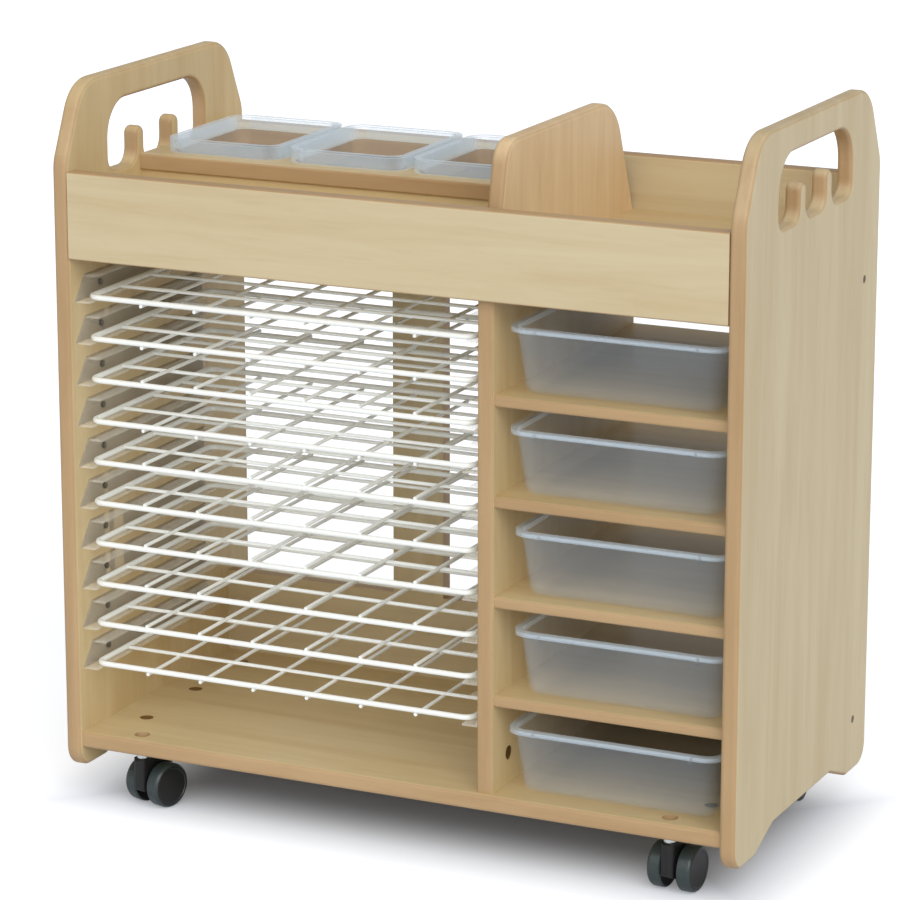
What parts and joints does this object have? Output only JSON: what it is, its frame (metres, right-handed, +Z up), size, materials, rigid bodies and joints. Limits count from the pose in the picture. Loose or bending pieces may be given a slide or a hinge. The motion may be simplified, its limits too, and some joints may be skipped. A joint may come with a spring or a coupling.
{
  "type": "art storage trolley",
  "caption": "Wheeled maple-veneer art trolley with pull-out wire drying racks, a column of clear tubs, a divided top tray with lift-out tubs, and side panels with hand holes.",
  "frame": {"origin": "centre of the footprint at floor level, under the caster wheels", "axes": "+X to the right seen from the front, +Y to the back, +Z up"},
  "size_m": [0.79, 0.4, 0.804],
  "materials": {
    "maple_board": "satin lacquered veneer",
    "rack_wire": "white powder coat",
    "runner_plastic": "milky",
    "tub_plastic": "clear",
    "caster_plastic": "black",
    "wheel_plastic": "dark grey",
    "axle_steel": "plain",
    "zinc_steel": "zinc plated",
    "dark_steel": "dark"
  },
  "bodies": {
    "frame": {"left_side_panel": "maple_board", "right_side_panel": "maple_board", "base_board": "maple_board", "deck_board": "maple_board", "lower_divider": "maple_board", "upper_divider": "maple_board", "front_fascia": "maple_board", "upper_back_board": "maple_board", "lower_back_panel": "maple_board", "upper_back_rail": "maple_board", "back_batten": "maple_board", "tub_shelf": "maple_board", "tub_shelf_riser": "maple_board", "shelf_1": "maple_board", "shelf_2": "maple_board", "shelf_3": "maple_board", "shelf_4": "maple_board", "runners_left": "runner_plastic", "runners_right": "runner_plastic", "caster_stems": "zinc_steel", "runner_screws": "zinc_steel", "cam_locks": "zinc_steel", "cam_bolts": "zinc_steel", "side_bolts": "dark_steel"},
    "rack_1_body": {"rack_1": "rack_wire"},
    "rack_2_body": {"rack_2": "rack_wire"},
    "rack_3_body": {"rack_3": "rack_wire"},
    "rack_4_body": {"rack_4": "rack_wire"},
    "rack_5_body": {"rack_5": "rack_wire"},
    "rack_6_body": {"rack_6": "rack_wire"},
    "rack_7_body": {"rack_7": "rack_wire"},
    "rack_8_body": {"rack_8": "rack_wire"},
    "rack_9_body": {"rack_9": "rack_wire"},
    "rack_10_body": {"rack_10": "rack_wire"},
    "column_tub_1_body": {"column_tub_1": "tub_plastic"},
    "column_tub_2_body": {"column_tub_2": "tub_plastic"},
    "column_tub_3_body": {"column_tub_3": "tub_plastic"},
    "column_tub_4_body": {"column_tub_4": "tub_plastic"},
    "column_tub_5_body": {"column_tub_5": "tub_plastic"},
    "top_tub_left_body": {"top_tub_left": "tub_plastic"},
    "top_tub_middle_body": {"top_tub_middle": "tub_plastic"},
    "top_tub_right_body": {"top_tub_right": "tub_plastic"},
    "caster_front_left": {"caster_hood_front_left": "caster_plastic", "caster_axle_front_left": "axle_steel"},
    "wheel_front_left_a_body": {"wheel_front_left_a": "wheel_plastic"},
    "wheel_front_left_b_body": {"wheel_front_left_b": "wheel_plastic"},
    "brake_front_left": {"brake_lever_front_left": "caster_plastic"},
    "caster_front_right": {"caster_hood_front_right": "caster_plastic", "caster_axle_front_right": "axle_steel"},
    "wheel_front_right_a_body": {"wheel_front_right_a": "wheel_plastic"},
    "wheel_front_right_b_body": {"wheel_front_right_b": "wheel_plastic"},
    "brake_front_right": {"brake_lever_front_right": "caster_plastic"},
    "caster_rear_left": {"caster_hood_rear_left": "caster_plastic", "caster_axle_rear_left": "axle_steel"},
    "wheel_rear_left_a_body": {"wheel_rear_left_a": "wheel_plastic"},
    "wheel_rear_left_b_body": {"wheel_rear_left_b": "wheel_plastic"},
    "caster_rear_right": {"caster_hood_rear_right": "caster_plastic", "caster_axle_rear_right": "axle_steel"},
    "wheel_rear_right_a_body": {"wheel_rear_right_a": "wheel_plastic"},
    "wheel_rear_right_b_body": {"wheel_rear_right_b": "wheel_plastic"}
  },
  "joints": [
    {"name": "rack_1_pull", "type": "slide", "parent": "frame", "child": "rack_1_body", "axis": [0, -1, 0], "range_m": [0, 0.3]},
    {"name": "rack_2_pull", "type": "slide", "parent": "frame", "child": "rack_2_body", "axis": [0, -1, 0], "range_m": [0, 0.3]},
    {"name": "rack_3_pull", "type": "slide", "parent": "frame", "child": "rack_3_body", "axis": [0, -1, 0], "range_m": [0, 0.3]},
    {"name": "rack_4_pull", "type": "slide", "parent": "frame", "child": "rack_4_body", "axis": [0, -1, 0], "range_m": [0, 0.3]},
    {"name": "rack_5_pull", "type": "slide", "parent": "frame", "child": "rack_5_body", "axis": [0, -1, 0], "range_m": [0, 0.3]},
    {"name": "rack_6_pull", "type": "slide", "parent": "frame", "child": "rack_6_body", "axis": [0, -1, 0], "range_m": [0, 0.3]},
    {"name": "rack_7_pull", "type": "slide", "parent": "frame", "child": "rack_7_body", "axis": [0, -1, 0], "range_m": [0, 0.3]},
    {"name": "rack_8_pull", "type": "slide", "parent": "frame", "child": "rack_8_body", "axis": [0, -1, 0], "range_m": [0, 0.3]},
    {"name": "rack_9_pull", "type": "slide", "parent": "frame", "child": "rack_9_body", "axis": [0, -1, 0], "range_m": [0, 0.3]},
    {"name": "rack_10_pull", "type": "slide", "parent": "frame", "child": "rack_10_body", "axis": [0, -1, 0], "range_m": [0, 0.3]},
    {"name": "column_tub_1_pull", "type": "slide", "parent": "frame", "child": "column_tub_1_body", "axis": [0, -1, 0], "range_m": [0, 0.335]},
    {"name": "column_tub_2_pull", "type": "slide", "parent": "frame", "child": "column_tub_2_body", "axis": [0, -1, 0], "range_m": [0, 0.335]},
    {"name": "column_tub_3_pull", "type": "slide", "parent": "frame", "child": "column_tub_3_body", "axis": [0, -1, 0], "range_m": [0, 0.335]},
    {"name": "column_tub_4_pull", "type": "slide", "parent": "frame", "child": "column_tub_4_body", "axis": [0, -1, 0], "range_m": [0, 0.335]},
    {"name": "column_tub_5_pull", "type": "slide", "parent": "frame", "child": "column_tub_5_body", "axis": [0, -1, 0], "range_m": [0, 0.335]},
    {"name": "top_tub_left_lift", "type": "slide", "parent": "frame", "child": "top_tub_left_body", "axis": [0, 0, 1], "range_m": [0, 0.085]},
    {"name": "top_tub_middle_lift", "type": "slide", "parent": "frame", "child": "top_tub_middle_body", "axis": [0, 0, 1], "range_m": [0, 0.085]},
    {"name": "top_tub_right_lift", "type": "slide", "parent": "frame", "child": "top_tub_right_body", "axis": [0, 0, 1], "range_m": [0, 0.085]},
    {"name": "front_left_swivel", "type": "hinge", "parent": "frame", "child": "caster_front_left", "pos_m": [-0.313, -0.174, 0.06], "axis": [0, 0, 1], "continuous": true},
    {"name": "front_left_wheel_a_spin", "type": "hinge", "parent": "caster_front_left", "child": "wheel_front_left_a_body", "pos_m": [-0.30715, -0.15487, 0.025], "axis": [0.9563, -0.2924, 0], "continuous": true},
    {"name": "front_left_wheel_b_spin", "type": "hinge", "parent": "caster_front_left", "child": "wheel_front_left_b_body", "pos_m": [-0.30715, -0.15487, 0.025], "axis": [0.9563, -0.2924, 0], "continuous": true},
    {"name": "front_left_brake", "type": "hinge", "parent": "caster_front_left", "child": "brake_front_left", "pos_m": [-0.30452, -0.14627, 0.052], "axis": [-0.9563, 0.2924, 0], "range_deg": [0, 20]},
    {"name": "front_right_swivel", "type": "hinge", "parent": "frame", "child": "caster_front_right", "pos_m": [0.313, -0.174, 0.06], "axis": [0, 0, 1], "continuous": true},
    {"name": "front_right_wheel_a_spin", "type": "hinge", "parent": "caster_front_right", "child": "wheel_front_right_a_body", "pos_m": [0.3144, -0.15405, 0.025], "axis": [0.9976, -0.0698, 0], "continuous": true},
    {"name": "front_right_wheel_b_spin", "type": "hinge", "parent": "caster_front_right", "child": "wheel_front_right_b_body", "pos_m": [0.3144, -0.15405, 0.025], "axis": [0.9976, -0.0698, 0], "continuous": true},
    {"name": "front_right_brake", "type": "hinge", "parent": "caster_front_right", "child": "brake_front_right", "pos_m": [0.31502, -0.14507, 0.052], "axis": [-0.9976, 0.0698, 0], "range_deg": [0, 20]},
    {"name": "rear_left_swivel", "type": "hinge", "parent": "frame", "child": "caster_rear_left", "pos_m": [-0.313, 0.174, 0.06], "axis": [0, 0, 1], "continuous": true},
    {"name": "rear_left_wheel_a_spin", "type": "hinge", "parent": "caster_rear_left", "child": "wheel_rear_left_a_body", "pos_m": [-0.31578, 0.15419, 0.025], "axis": [-0.9903, 0.1392, 0], "continuous": true},
    {"name": "rear_left_wheel_b_spin", "type": "hinge", "parent": "caster_rear_left", "child": "wheel_rear_left_b_body", "pos_m": [-0.31578, 0.15419, 0.025], "axis": [-0.9903, 0.1392, 0], "continuous": true},
    {"name": "rear_right_swivel", "type": "hinge", "parent": "frame", "child": "caster_rear_right", "pos_m": [0.313, 0.174, 0.06], "axis": [0, 0, 1], "continuous": true},
    {"name": "rear_right_wheel_a_spin", "type": "hinge", "parent": "caster_rear_right", "child": "wheel_rear_right_a_body", "pos_m": [0.31509, 0.15411, 0.025], "axis": [-0.9945, -0.1045, 0], "continuous": true},
    {"name": "rear_right_wheel_b_spin", "type": "hinge", "parent": "caster_rear_right", "child": "wheel_rear_right_b_body", "pos_m": [0.31509, 0.15411, 0.025], "axis": [-0.9945, -0.1045, 0], "continuous": true}
  ]
}
